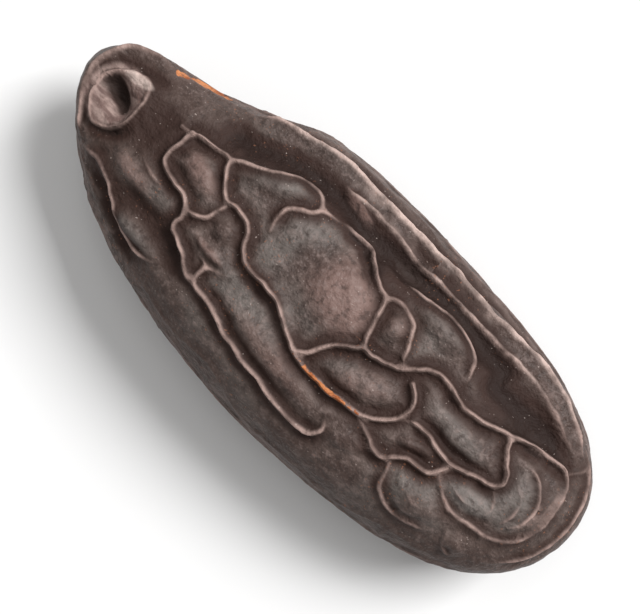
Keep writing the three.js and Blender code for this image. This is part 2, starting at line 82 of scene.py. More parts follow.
def smooth_at(table, x):
    """A smooth value at x between the rows of a table of (x, value)."""
    xs, values = np.array(table, float).T
    before = np.maximum(np.arange(len(xs)) - 1, 0)
    after = np.minimum(np.arange(len(xs)) + 1, len(xs) - 1)
    slopes = (values[after] - values[before]) / (xs[after] - xs[before])
    k = np.clip(np.searchsorted(xs, x) - 1, 0, len(xs) - 2)
    gap = xs[k + 1] - xs[k]
    t = np.clip((x - xs[k]) / gap, 0, 1)
    rise = t * t * (3 - 2 * t)
    return (
        values[k] + (values[k + 1] - values[k]) * rise
        + slopes[k] * gap * t * (1 - t) ** 2
        - slopes[k + 1] * gap * t * t * (1 - t)
    )


def section(x):
    """The section at x: its middle, and its reach to the keel side, plain side, up and down."""
    u = np.clip(np.asarray(x, float) / HALF, -1, 1)
    round_share = np.sqrt(1 - u * u)
    thick = round_share * smooth_at(FULL_THICKNESS, x)
    keel = WIDTH / 2 * round_share * smooth_at(FULL_KEEL_SIDE, x)
    plain = WIDTH / 2 * round_share * smooth_at(FULL_PLAIN_SIDE, x)
    return TIP_SHIFT * u * u, TIP_LIFT * u * u, keel, plain, RISE * thick, DROP * thick


def form_at(x, angle):
    """The form's points at x along the bean and an angle round its section."""
    mid_y, mid_z, keel, plain, rise, drop = section(x)
    side, up = np.cos(angle), np.sin(angle)
    r = (np.abs(side) ** SECTION_POWER + np.abs(up) ** SECTION_POWER) ** (-1 / SECTION_POWER)
    y = mid_y + r * side * np.where(side > 0, keel, plain)
    z = mid_z + r * up * np.where(up > 0, rise, drop)
    return np.stack(np.broadcast_arrays(x, y, z), axis=-1)


def form_over(path):
    """The points of the form's upper side over a path of (x, y)."""
    x, y = np.array(path, float).T
    mid_y, mid_z, keel, plain, rise, _ = section(x)
    share = np.minimum(PATH_INSIDE, np.abs(y - mid_y) / np.where(y > mid_y, keel, plain))
    z = mid_z + rise * (1 - share ** SECTION_POWER) ** (1 / SECTION_POWER)
    return np.stack((x, y, z), axis=-1)


CELLS = ((318, 88, 50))  # along, across and over the edges
CAP_ANGLE = math.radians(33)  # the part of a tip that the end of the box covers
CAP_MIX = 0.45  # evens out the cells' length
AT_END = 0.9999  # corners of the box past this are on its ends
CROWD = 0.38  # how far the cells gather on the broad face that is seen


def box_skin(sizes):
    """The corners, from -1 to 1, and the squares of a box's surface cut into cells."""
    squares = []
    for axis in range(3):
        u, v = (axis + 1) % 3, (axis + 2) % 3
        i, j = np.meshgrid(np.arange(sizes[u]), np.arange(sizes[v]), indexing="ij")
        for end in (0, sizes[axis]):
            corners = []
            for step_i, step_j in ((0, 0), (1, 0), (1, 1), (0, 1)):
                corner = np.empty(i.shape + (3,), int)
                corner[..., axis], corner[..., u], corner[..., v] = end, i + step_i, j + step_j
                corners.append(corner)
            square = np.stack(corners, axis=2).reshape(-1, 4, 3)
            squares.append(square if end else square[:, ::-1])
    corners = np.concatenate(squares).reshape(-1, 3)
    lattice, faces = np.unique(corners, axis=0, return_inverse=True)
    return lattice * 2 / np.array(sizes) - 1, faces.reshape(-1, 4)


def wrap(box):
    """The form's points for a box's corners: its long sides go round, its ends over the tips."""
    x, y, z = box.T
    side, up = y * np.sqrt(1 - z * z / 2), z * np.sqrt(1 - y * y / 2)
    a = np.abs(x)
    along = (1 - CAP_MIX) * np.arccos(a * math.cos(CAP_ANGLE))
    along += CAP_MIX * (math.pi / 2 - a * (math.pi / 2 - CAP_ANGLE))
    from_tip = np.where(a > AT_END, CAP_ANGLE * np.hypot(side, up), along)
    angle = np.arctan2(up, side)
    return form_at(np.sign(x) * HALF * np.cos(from_tip), angle + CROWD * np.cos(angle))


def linked(name, data):
    """A new object of the scene that holds data."""
    made = bpy.data.objects.new(name, data)
    bpy.context.scene.collection.objects.link(made)
    return made


corners, squares = box_skin(CELLS)
form = bpy.data.meshes.new("tonka_seed")
form.from_pydata(wrap(corners).tolist(), [], squares.tolist())
form.shade_smooth()
seed = linked("tonka_seed", form)

# The folds of the coat
# The coat shrank on the kernel and stood up in crests about half a millimetre high. Each is a
# path over the form with its height, the half-width of the fold and the share of the height left
# at its two ends. Those of the broad face lie as they are seen.

FACE_CRESTS = (
    # The cell nearest the scar
    (0.62, 0.19, 0.3, 1, ((-11.5, 1.4), (-10.5, 1.55), (-9.5, 1.75), (-8.6, 1.9), (-8.2, 1.4),
     (-7.7, 0.75), (-7.2, 0.3), (-6.9, 0.25))),
    (0.6, 0.19, 1, 1, ((-10.85, 1.5), (-10.8, 0.7), (-11, 0), (-10.85, -0.45), (-10.35, -0.8),
     (-9.5, -0.95), (-8.9, -1.05), (-8.4, -1.35), (-8.1, -1.8), (-8.15, -2.3), (-7.95, -2.65))),
    (0.42, 0.22, 1, 1, ((-6.9, 0.25), (-7, -0.4), (-7.2, -1.05), (-7.7, -1.35), (-8.25, -1.45))),
    # The crest along the middle
    (0.64, 0.19, 1, 1, ((-6.9, 0.25), (-6.3, 0.4), (-5.6, 0.3), (-5.1, -0.1), (-4.8, -0.7),
     (-4.3, -1.15), (-3.5, -1.3), (-2.7, -1.25), (-1.8, -1.3), (-1.2, -1.6), (-0.4, -2),
     (0.4, -2.4), (1.2, -2.65), (2.2, -2.68), (3.2, -2.65), (4.2, -2.5), (5.2, -2.3),
     (5.9, -1.95), (6.5, -1.4), (6.8, -0.8), (6.75, -0.2), (6.45, 0.25), (6, 0.6))),
    # The lower crest and the small fork on it
    (0.6, 0.22, 1, 0.2, ((-7.95, -2.65), (-7.4, -2.9), (-6.8, -3.1), (-6.3, -3.5), (-5.8, -3.75),
     (-5, -3.8), (-4, -3.9), (-3, -4.2), (-2.2, -4.45), (-1.2, -4.6), (0, -4.8), (1.2, -4.95),
     (2.4, -5.05), (3.4, -5.1), (4.2, -4.85), (4.5, -4.4), (4.35, -3.9), (4.05, -3.5))),
    (0.42, 0.2, 1, 0.2, ((-5.4, -3.78), (-5.4, -3.2), (-5.35, -2.8), (-4.8, -2.55),
     (-4.25, -2.25))),
    (0.34, 0.2, 1, 0, ((-5.35, -2.8), (-5.9, -2.65), (-6.6, -2.75))),
    # The great cell and the lobe at the shoulder
    (0.62, 0.22, 0.3, 0.3, ((-4.45, 0.8), (-4.65, 1.4), (-4.65, 2.1), (-4.2, 2.6), (-3.7, 3),
     (-3.3, 3.45), (-2.5, 3.65))),
    (0.68, 0.22, 0.2, 1, ((-2.5, 3.65), (-1.8, 3.9), (-1, 4.05), (-0.2, 4), (0.2, 3.6), (0.7, 3.2),
     (1.35, 2.8), (1.85, 2.65), (2.2, 2), (2.5, 1.3), (2.7, 0.5), (2.9, 0.1), (2.3, -0.5),
     (1.7, -1), (1.4, -1.7), (1.15, -2.15), (0.7, -2.5))),
    (0.4, 0.28, 1, 1, ((-8.6, 1.9), (-7.8, 2.3), (-7, 2.7), (-6.3, 3.1), (-5.6, 3.7), (-4.8, 4.05),
     (-4.1, 4), (-3.3, 3.45))),
    # The long crest to the blunt end and back round it
    (0.66, 0.2, 1, 0.5, ((2.9, 0.1), (3.6, 0.1), (4.3, 0.35), (5, 0.75), (5.7, 1.4), (6.5, 1.9),
     (7.2, 1.95), (8, 1.75), (8.7, 1.65), (9.6, 1.8), (10.5, 2.05), (11.4, 2.35), (12.2, 2.7),
     (13.2, 3), (14.2, 3.15), (14.9, 3.15), (15.4, 2.6))),
    (0.34, 0.32, 0.8, 0.6, ((15.4, 2.6), (15.65, 1.8), (15.85, 1), (15.9, 0.2), (15.7, -0.6),
     (15.3, -1.3), (14.7, -1.8), (14, -2.1), (13, -2.25), (12.2, -2.4), (11.4, -2.3),
     (10.7, -1.9), (10.2, -1.5))),
    (0.58, 0.19, 1, 0.3, ((11.4, 2.35), (11.7, 1.75), (12.2, 1.2), (12.6, 0.8), (12.65, 0.25),
     (12.3, -0.1), (11.6, -0.3), (10.9, -0.6), (10.2, -0.85), (9.6, -0.8), (8.8, -0.65),
     (8, -0.6), (7.4, -0.7), (6.95, -1))),
    (0.52, 0.19, 1, 0.4, ((10.2, -0.85), (10.1, -1.4), (9.8, -1.95), (9.2, -2.05), (8.5, -2.2),
     (8, -2.6), (7.6, -3.05), (7.2, -3.1), (6.5, -2.9), (5.7, -2.6), (5.2, -2.35))),
    # Edges of the lobes beside the net
    (0.36, 0.28, 0.5, 0.1, ((7.9, -2.75), (8.2, -3.4), (8.6, -4.15), (9.4, -4.55), (10.2, -4.6),
     (11.2, -4.35), (12.2, -3.9))),
    (0.28, 0.22, 0.2, 0.1, ((12.6, -3.2), (12.9, -3.9), (13.5, -4.15), (14, -3.8), (14.3, -3.3))),
    (0.5, 0.22, 0.1, 0.1, ((2, 4), (2.7, 4.25), (3.3, 4.2), (4.1, 4.35), (5.1, 4.52),
     (5.9, 4.5), (6.7, 4.25), (7.4, 3.75), (7.65, 3.2), (7.8, 2.75), (7.9, 2.3))),
    (0.42, 0.2, 1, 0.5, ((1.9, 2.65), (2.5, 2.95), (3.2, 3), (3.8, 2.75), (4.2, 2.3),
     (4.5, 1.75), (4.85, 1.1))),
    # The keel, its second line and the rims of both ends
    (0.56, 0.2, 0, 0.3, ((-9.6, 4.35), (-8.5, 4.75), (-7, 5.25), (-5.5, 5.65), (-4, 5.9),
     (-2, 5.9), (0, 5.85), (3, 5.95), (6, 5.9), (10, 5.8), (11.5, 5.6), (12.5, 5.3),
     (13.5, 4.95), (14.4, 4.55), (14.9, 4.3))),
    (0.28, 0.2, 0, 0.3, ((-4.2, 5.1), (-3, 5.25), (-1, 5.3), (2, 5.35), (4, 5.35), (6, 5.3),
     (9, 5.2), (11, 4.95), (12.5, 4.65), (13.6, 4.3), (14.6, 3.95))),
    (0.24, 0.22, 0.6, 0.6, ((14.9, 4.6), (15.4, 4.3), (15.5, 3.8), (15.1, 3.2))),
    (0.34, 0.2, 0, 0, ((14.7, 4.8), (15.6, 4.2), (16.4, 3.2), (16.9, 2), (17.1, 0.6), (16.9, -0.7),
     (16.3, -1.9), (15.4, -3))),
    (0.34, 0.2, 0, 0, ((-13.7, 3.1), (-15.3, 2.7), (-16.4, 2.1), (-17, 1.1), (-17.1, 0.2),
     (-16.65, -1), (-15.75, -2.1), (-14.7, -3))),
    # The rim of the scar, the slit and the bowl in it, and the neck beside it
    (0.55, 0.34, 1, 0.8, ((-16.5, -0.3), (-16.55, 0.3), (-16.25, 0.9), (-15.7, 1.25), (-14.9, 1.6),
     (-14.35, 1.65), (-13.95, 1.2), (-13.75, 0.3))),
    (0.42, 0.26, 1, 0.8, ((-16.5, -0.3), (-16.1, -1), (-15.55, -1.5), (-14.9, -1.8), (-14.2, -1.45),
     (-13.8, -0.7), (-13.75, 0.3))),
    # The flank below the net
    (0.42, 0.28, 0.1, 0.1, ((-14.8, -2.95), (-13.5, -2.95), (-12.6, -3.2), (-12.1, -3.35),
     (-11.7, -3.7), (-11.1, -4), (-10.4, -4.45), (-9.5, -4.65), (-8.6, -4.8), (-7.7, -4.65),
     (-7.1, -4.3))),
    (0.22, 0.34, 0, 0, ((-12.4, -1), (-11.6, -1.25), (-10.5, -1.5), (-9.2, -1.9))),
)

# Faint wrinkles: in the lobe at the blunt end, on the great cell and beside the scar
FACE_WRINKLES = (
    (0.34, 0.18, 0, 0, ((12.5, 1.75), (13.3, 1.95), (14.1, 1.7), (14.75, 1), (14.95, 0.1),
     (14.8, -0.7), (14.2, -1.35))),
    (0.3, 0.17, 0.6, 0, ((12.7, -0.2), (13.1, -0.7), (13.3, -1.3), (13.1, -2))),
    (0.3, 0.17, 0.2, 0, ((13.3, 0.8), (13.9, 0.5), (14.2, -0.1), (14.15, -0.9), (13.8, -1.7))),
    (0.28, 0.17, 0.2, 0, ((15, 2.6), (15.35, 1.7), (15.45, 0.7), (15.3, -0.3), (14.9, -1.2))),
    (0.16, 0.15, 0, 0, ((12.2, 2.1), (12.8, 2.4), (13.6, 2.5), (14.3, 2.3))),
    (0.28, 0.17, 0.4, 0.2, ((10.5, -1.3), (11.2, -1.55), (12, -1.6), (12.7, -1.3))),
    (0.16, 0.15, 0, 0, ((11.2, -0.8), (11.9, -1), (12.6, -0.9))),
    (0.24, 0.18, 0, 0, ((9.1, -2.9), (9.8, -3.3), (10.6, -3.3), (11.4, -3))),
    (0.16, 0.18, 0, 0, ((8.9, -3.7), (9.8, -4), (10.8, -3.9), (11.6, -3.5))),
    (0.12, 0.25, 0, 0, ((-3.5, 2.8), (-2.9, 2.1), (-2.5, 1.3), (-2.4, 0.6))),
    (0.12, 0.3, 0, 0, ((-0.6, 3.4), (-0.3, 2.5), (0.4, 1.6), (1.2, 0.9), (1.7, 0))),
    (0.22, 0.16, 0, 0, ((-12.6, -0.95), (-12.1, -1.05), (-11.6, -1.25))),
    (0.14, 0.2, 0, 0, ((-11.6, 0.9), (-12.1, 0.2), (-12, -0.5))),
    (0.12, 0.2, 0, 0, ((-10.5, 3.7), (-9.6, 3.9), (-8.4, 3.7))),
    (0.12, 0.18, 0, 0, ((8.4, -3), (9.4, -3.3), (10.4, -3.1), (11.3, -3.4))),
    (0.12, 0.2, 0, 0, ((4.6, -3.6), (5.6, -3.4), (6.6, -3.5), (7.4, -3.9))),
)

# Broad swells and hollows, with negative heights for the hollows
FACE_SWELLS = (
    # The rim round the scar end, the dip inside it, and the bowl and the slit of the scar
    (0.3, 0.5, 0, 0, ((-13.5, 3.2), (-15.2, 2.8), (-16.5, 2.1), (-17.15, 1.1), (-17.2, 0.2),
     (-16.8, -1), (-15.9, -2.1), (-14.8, -3))),
    (-0.3, 0.42, 0, 0, ((-12.9, 2.2), (-14.4, 2.3), (-15.7, 1.85), (-16.55, 1.1), (-16.8, 0.1),
     (-16.55, -0.9), (-15.8, -1.9), (-14.9, -2.35))),
    (-0.7, 0.8, 1, 1, ((-15.7, 0.2), (-14.75, -0.1))),
    (-0.9, 0.5, 0.2, 0.3, ((-16.4, 0.2), (-15.85, 0.37), (-15.25, 0.27), (-14.55, -0.4))),
    (-0.4, 0.32, 0, 0, ((-15.4, -2.3), (-14.6, -1.95), (-13.8, -1.35), (-13.2, -0.5))),
    (-0.3, 0.9, 0.3, 0.3, ((-12.9, 2.3), (-12.5, 1), (-12.4, -0.4), (-13.2, -1.6))),
    # The keel's broad foot and the trough inside it
    (0.5, 0.7, 0, 0.3, ((-9.6, 4.1), (-7, 5.1), (-5, 5.6), (-3, 5.75), (0, 5.75), (3, 5.8),
     (6, 5.75), (9, 5.7), (11, 5.45), (12.5, 5.1), (13.6, 4.65), (14.6, 4.2))),
    (-0.6, 0.95, 0.2, 1, ((-10.5, 2.8), (-8.5, 3.3), (-6.5, 4.3), (-4.5, 4.7), (-2, 4.6),
     (0.5, 4.6), (2, 4.85))),
    (-0.65, 0.95, 0.8, 0.2, ((2, 4.85), (5, 5.05), (8.5, 4.5), (9.3, 3.6), (11, 3.7), (13, 3.85),
     (14.6, 3.7))),
    (-0.25, 0.2, 0, 0, ((-4.4, 5.4), (-2, 5.6), (1, 5.6), (4, 5.65), (8, 5.55), (11, 5.3),
     (13, 4.85))),
    (-0.25, 0.3, 0, 0.3, ((-8, 5.4), (-6, 6.05), (-3, 6.5), (0, 6.45), (4, 6.55), (8, 6.5),
     (11, 6.15), (13, 5.5), (14.4, 4.95))),
    # Slits and valleys in the net, and the flat foot of the crest along the middle
    (-0.35, 0.28, 0.3, 0.3, ((8.5, -1.75), (9.1, -1.75), (9.6, -1.7))),
    (-0.22, 0.3, 0, 0, ((7.2, -0.15), (9, -0.3), (11, -0.2), (12.2, 0.15))),
    (0.28, 0.42, 0.3, 0.3, ((-4, -1), (-3.2, -1), (-2.2, -1), (-1.4, -1.25), (-0.6, -1.75),
     (0.3, -2.25))),
    # The flank: a valley under the net, then a broad fold that fades along the side
    (-0.35, 0.6, 0, 0, ((-12, -2.9), (-10.4, -3.1), (-8.6, -3.3), (-7, -3.9), (-5.8, -4.5))),
    (-0.45, 0.42, 0, 0, ((-13.8, -3.5), (-12.4, -3.9), (-11.3, -4.5), (-9.8, -5.1), (-8, -5.4))),
    (0.28, 0.5, 0, 0, ((-14.2, -3.9), (-12.5, -4.7), (-10.5, -5.4), (-8.5, -5.9), (-6.5, -6.2))),
)

# The long wavering crests of the sides and the underside follow a rule
# They run in lanes side by side round the section. Each lane has its own slow and quick sway,
# and short crests link it to the next one.

SEED = 11
LANES = 17
LANE_FIRST, LANE_LAST = 27, -207  # degrees round the section
LANE_REACH = 17.1  # how far along the bean a crest may run, from the middle
LANE_SHORT = 3.4  # and how much shorter some are, at each end
LANE_HIGH = 0.44
LANE_WIDE = 0.22
LANE_RISE = 5  # the outermost lanes are lower, this many on each side
LANE_STEP = 1.3
SWAY_SLOW = (6, 2.6)  # degrees round the section, over millimetres along the seed
SWAY_QUICK = (3, 0.95)
LINKS_PER_LANE = 4  # short crests across to the next lane
LINK_ROW = 10  # repeatable numbers kept for the links of a lane
LINK_HIGH = 0.7  # their height as a share of the lanes'
LINK_PLACE = (0.2, 0.8)  # where a link may start in its own part of the lane
LINK_LEAN = 0.8  # how far along the bean its far end may lie from its start
LINK_STEPS = (0, 0.35, 0.65, 1)  # its points, as shares of the way across

# Where each use of the repeatable numbers starts in their row, and what scatters them
DRAWS = {"slow": 0, "quick": 40, "start": 80, "end": 120, "place": 200, "lean": 400}
NOISE_STEP = 12.9898
NOISE_SPREAD = 43758.5453


def draw(use, n):
    """A repeatable number from 0 to 1 for each use and whole n."""
    s = math.sin((DRAWS[use] + n) * NOISE_STEP + SEED) * NOISE_SPREAD
    return s - math.floor(s)


def lane_angle(lane, x):
    """Where a crest of the underside is round the section at x, wavering along its lane."""
    middle = LANE_FIRST + (LANE_LAST - LANE_FIRST) * lane / (LANES - 1)
    slow = np.sin(np.asarray(x) / SWAY_SLOW[1] + math.tau * draw("slow", lane))
    quick = np.sin(np.asarray(x) / SWAY_QUICK[1] + math.tau * draw("quick", lane))
    return np.radians(middle + SWAY_SLOW[0] * slow + SWAY_QUICK[0] * quick)


def lane_folds():
    """The crests of the underside and the short links between neighbours."""
    for lane in range(LANES):
        x = np.arange(
            -LANE_REACH + LANE_SHORT * draw("start", lane),
            LANE_REACH - LANE_SHORT * draw("end", lane),
            LANE_STEP,
        )
        high = LANE_HIGH * min(1, (min(lane, LANES - 1 - lane) + 1) / LANE_RISE)
        yield high, LANE_WIDE, 0, 0, form_at(x, lane_angle(lane, x)), 0
        if lane == LANES - 1:
            return
        for link in range(LINKS_PER_LANE):
            first, last = LINK_PLACE
            share = first + (last - first) * draw("place", lane * LINK_ROW + link)
            x = (2 * (link + share) / LINKS_PER_LANE - 1) * (LANE_REACH - LANE_SHORT)
            lean = LINK_LEAN * (2 * draw("lean", lane * LINK_ROW + link) - 1)
            t = np.array(LINK_STEPS)
            angle = lane_angle(lane, x) * (1 - t) + lane_angle(lane + 1, x + lean) * t
            yield LINK_HIGH * high, LANE_WIDE, 1, 1, form_at(x + lean * t, angle), 0


def fold_paths(name, folds):
    """One object of open lines, with each fold's number, height, width and ends on its points."""
    points, edges = [], []
    values = {"fold": [], "high": [], "wide": [], "start": [], "end": [], "swell": []}
    for number, (high, wide, start, end, path, swell) in enumerate(folds):
        first = len(points)
        points += [list(map(float, p)) for p in path]
        edges += [(first + k, first + k + 1) for k in range(len(path) - 1)]
        for key, value in zip(values, (number, high, wide, start, end, swell)):
            values[key] += [value] * len(path)
    mesh = bpy.data.meshes.new(name)
    mesh.from_pydata(points, edges, [])
    for key, row in values.items():
        mesh.attributes.new(key, "INT" if key == "fold" else "FLOAT", "POINT")
        mesh.attributes[key].data.foreach_set("value", row)
    made = linked(name, mesh)
    made.hide_render = True
    return made, len(folds)


over_face = [
    (*fold[:4], form_over(fold[4]), swell)
    for swell, table in enumerate((FACE_CRESTS + FACE_WRINKLES, FACE_SWELLS)) for fold in table
]
folds, fold_count = fold_paths("coat_folds", [*over_face, *lane_folds()])

# Soft lobes that swelled between the crests, as x, y, half-length, half-width, turn, height and
# how pink the skin on them is, a tone that is partly painted light, or below zero how much painted
# grey sheen lies on them
LOBES = (
    (0.5, 1, 2.6, 2.1, -25, 0.53, 1),
    (-3.3, 1.9, 1.3, 1.2, 20, 0.25, -0.45),
    (-9, 0.3, 1.8, 0.8, -15, 0.33, 0.7),
    (-5.7, 2.9, 2.2, 0.8, 28, 0.43, -0.5),
    (-6, -0.9, 0.8, 0.6, 0, 0.25, 0.1),
    (-5.8, -2.1, 1.2, 0.3, -4, 0.33, 0.6),
    (4.2, -1.2, 2.1, 0.9, 22, 0.38, 0.5),
    (9.4, 0.45, 3, 0.8, -3, 0.18, -0.5),
    (8.3, -1.5, 1, 0.4, 18, 0.28, 0.3),
    (5.3, 3.65, 2.3, 0.8, -3, 0.5, -0.3),
    (3.4, 1.95, 0.9, 1, -30, 0.43, 0.4),
    (13.8, 0.3, 1.9, 2, 10, 0.38, -0.55),
    (12.2, -1.4, 1.6, 0.7, 12, 0.33, -1),
    (10.3, -3.4, 2, 1, 5, 0.43, 0),
    (13.4, -3.5, 0.8, 0.5, 0, 0.25, 0),
    (-0.2, -3.5, 4, 0.85, -6, 0.38, 0.4),
    (5.9, -3.7, 1.3, 0.6, 25, 0.25, 0.2),
    (-9.3, -4.2, 1.9, 0.4, -6, 0.38, -0.6),
    (-11.5, -2.1, 1.7, 0.6, -8, 0.25, 0.5),
    (-2.1, 5, 1.5, 0.25, -6, 0.25, 1),
)


def lobe_points():
    """One object with a point for each lobe, and its sizes on the point."""
    mesh = bpy.data.meshes.new("coat_lobes")
    mesh.from_pydata([(x, y, 0) for x, y, *_ in LOBES], [], [])
    for k, key in enumerate(("long", "broad", "turn", "high", "pink"), start=2):
        mesh.attributes.new(key, "FLOAT", "POINT")
        row = [math.radians(lobe[k]) if key == "turn" else lobe[k] for lobe in LOBES]
        mesh.attributes[key].data.foreach_set("value", row)
    made = linked("coat_lobes", mesh)
    made.hide_render = True
    return made


lobes = lobe_points()

# Places where the dark coat is rubbed through to the orange-brown layer under it: the crack on
# the middle crest and the chipped edge at the shoulder, as how bare, half-width and path
RUBS = (
    (1, 0.13, form_over(((0.8, -2.6), (2.2, -2.7), (3.2, -2.66), (4.2, -2.5), (5.3, -2.3)))),
    (1.5, 0.3, form_over(((-13.7, 3.15), (-12.8, 3.57), (-12, 3.83), (-11.1, 4.08)))),
)
RUB_ENDS = 0.6  # the share left at both ends
rubs, _ = fold_paths(
    "coat_rubs", [(bare, wide, RUB_ENDS, RUB_ENDS, path, 0) for bare, wide, path in RUBS]
)

# The wrinkled skin
# The dried coat is one skin over the kernel. A node tree lays the folds and the lobes on the
# form, then the fine wrinkles and the grain. Two small classes write its nodes as expressions.


class Wire:
    """A node's output, on which Python's operators add Math nodes."""

    def __init__(self, tree, socket):
        self.tree, self.socket = tree, socket

    def math(self, operation, *others):
        values = dict(enumerate((self, *others)))
        return self.tree.add("ShaderNodeMath", {"operation": operation}, values)

    def __add__(self, other):
        return self.math("ADD", other)

    def __mul__(self, other):
        return self.math("MULTIPLY", other)

    def __sub__(self, other):
        return self.math("SUBTRACT", other)

    def __truediv__(self, other):
        return self.math("DIVIDE", other)

    def __pow__(self, other):
        return self.math("POWER", other)

    def __rsub__(self, other):
        return self * -1 + other

    def __neg__(self):
        return self * -1

    __radd__, __rmul__ = __add__, __mul__

    def smooth(self, low, high):
        """0 below low, 1 above high, smooth between."""
        values = {"Value": self, "From Min": low, "From Max": high}
        return self.tree.add("ShaderNodeMapRange", {"interpolation_type": "SMOOTHSTEP"}, values)


class Tree:
    """A node tree that is written as expressions."""

    def __init__(self, tree):
        self.tree = tree

    def plug(self, value, socket):
        """Links a wire to a socket, or sets the socket to a plain value."""
        if isinstance(value, Wire):
            self.tree.links.new(value.socket, socket)
        else:
            socket.default_value = value

    def node(self, kind, settings=(), values=()):
        """A new node with its settings, and the values or links of its sockets."""
        made = self.tree.nodes.new(kind)
        for name, setting in dict(settings).items():
            setattr(made, name, setting)
        for key, value in dict(values).items():
            self.plug(value, made.inputs[key])
        return made

    def add(self, kind, settings=(), values=(), output=0):
        """One output of a new node."""
        return Wire(self, self.node(kind, settings, values).outputs[output])

    def named(self, name, kind="FLOAT"):
        """A named attribute, in geometry nodes."""
        return self.add("GeometryNodeInputNamedAttribute", {"data_type": kind}, {"Name": name})

    def stored(self, geometry, name, value, kind="FLOAT"):
        """geometry with a value stored on its points, in geometry nodes."""
        settings = {"data_type": kind, "domain": "POINT"}
        values = {"Geometry": geometry, "Name": name, "Value": value}
        return self.add("GeometryNodeStoreNamedAttribute", settings, values)

    def parts(self, vector):
        """The x, y and z of a vector."""
        split = self.node("ShaderNodeSeparateXYZ", values={0: vector})
        return [Wire(self, socket) for socket in split.outputs]

    def vector(self, x, y, z):
        return self.add("ShaderNodeCombineXYZ", values={0: x, 1: y, 2: z})


# How the folds and the lobes shape the skin: shares of a fold's height and width, levels over
# the widest one in millimetres, and the gains of the marks that the colours are laid by
CREST_USUAL = 0.6  # a crest this high has the full furrow beside it
CREST_FOOT = 0.28  # the share of a crest's height that is its broad foot
FOOT_SPREAD = 7  # the square of how many times as wide as the crest the foot is
CREST_LEAST = 0.08  # lower crests don't draw the points of the skin to them
UNEVEN_HIGH, UNEVEN_WIDE = 1.8, 1.6  # how much a crest's height and width vary
# Where each use of the noise lies in it, in millimetres along the bean
NOISE_SHIFTS = {"fine": 0.0, "high": 7.0, "wide": 23.0, "x": 40.0, "y": 80.0, "z": 120.0}
LOBE_TOP, LOBE_END = 0.25, 1.15  # shares of its reach where a lobe starts and ends to fall
TOP_IN = (-0.4, 0.4)  # levels between which the face's lobes come in
FACE_IN = (-2, 2.5)  # and between which most of the fine wrinkles go out
FACE_SMOOTHER = 0.8  # the share of the wrinkles that the face hasn't
FINE_ON_CRESTS = 0.25  # the share of the fine relief that is left on the crests
ON_CREST = (0.05, 0.4)  # heights of a crest between which the rest of it goes out
WRINKLE_DETAIL, WRINKLE_STRETCH, WRINKLE_SHARP = 3.0, 3.0, 4
REST_CALM = (6.5, 3.6)  # half-length and half-width of the calm skin round the flat spot
REST_FLAT = 0.5  # the share of it that has no relief at all
LINE_GAIN = 2.3  # how soon a crest is high enough for the full pale line
DEEP_GAIN = 1.45  # what a millimetre of depth counts for in the colours
RUB_EDGE = (0.4, 1.4)  # where a rubbed place starts and ends to fade, in half-widths


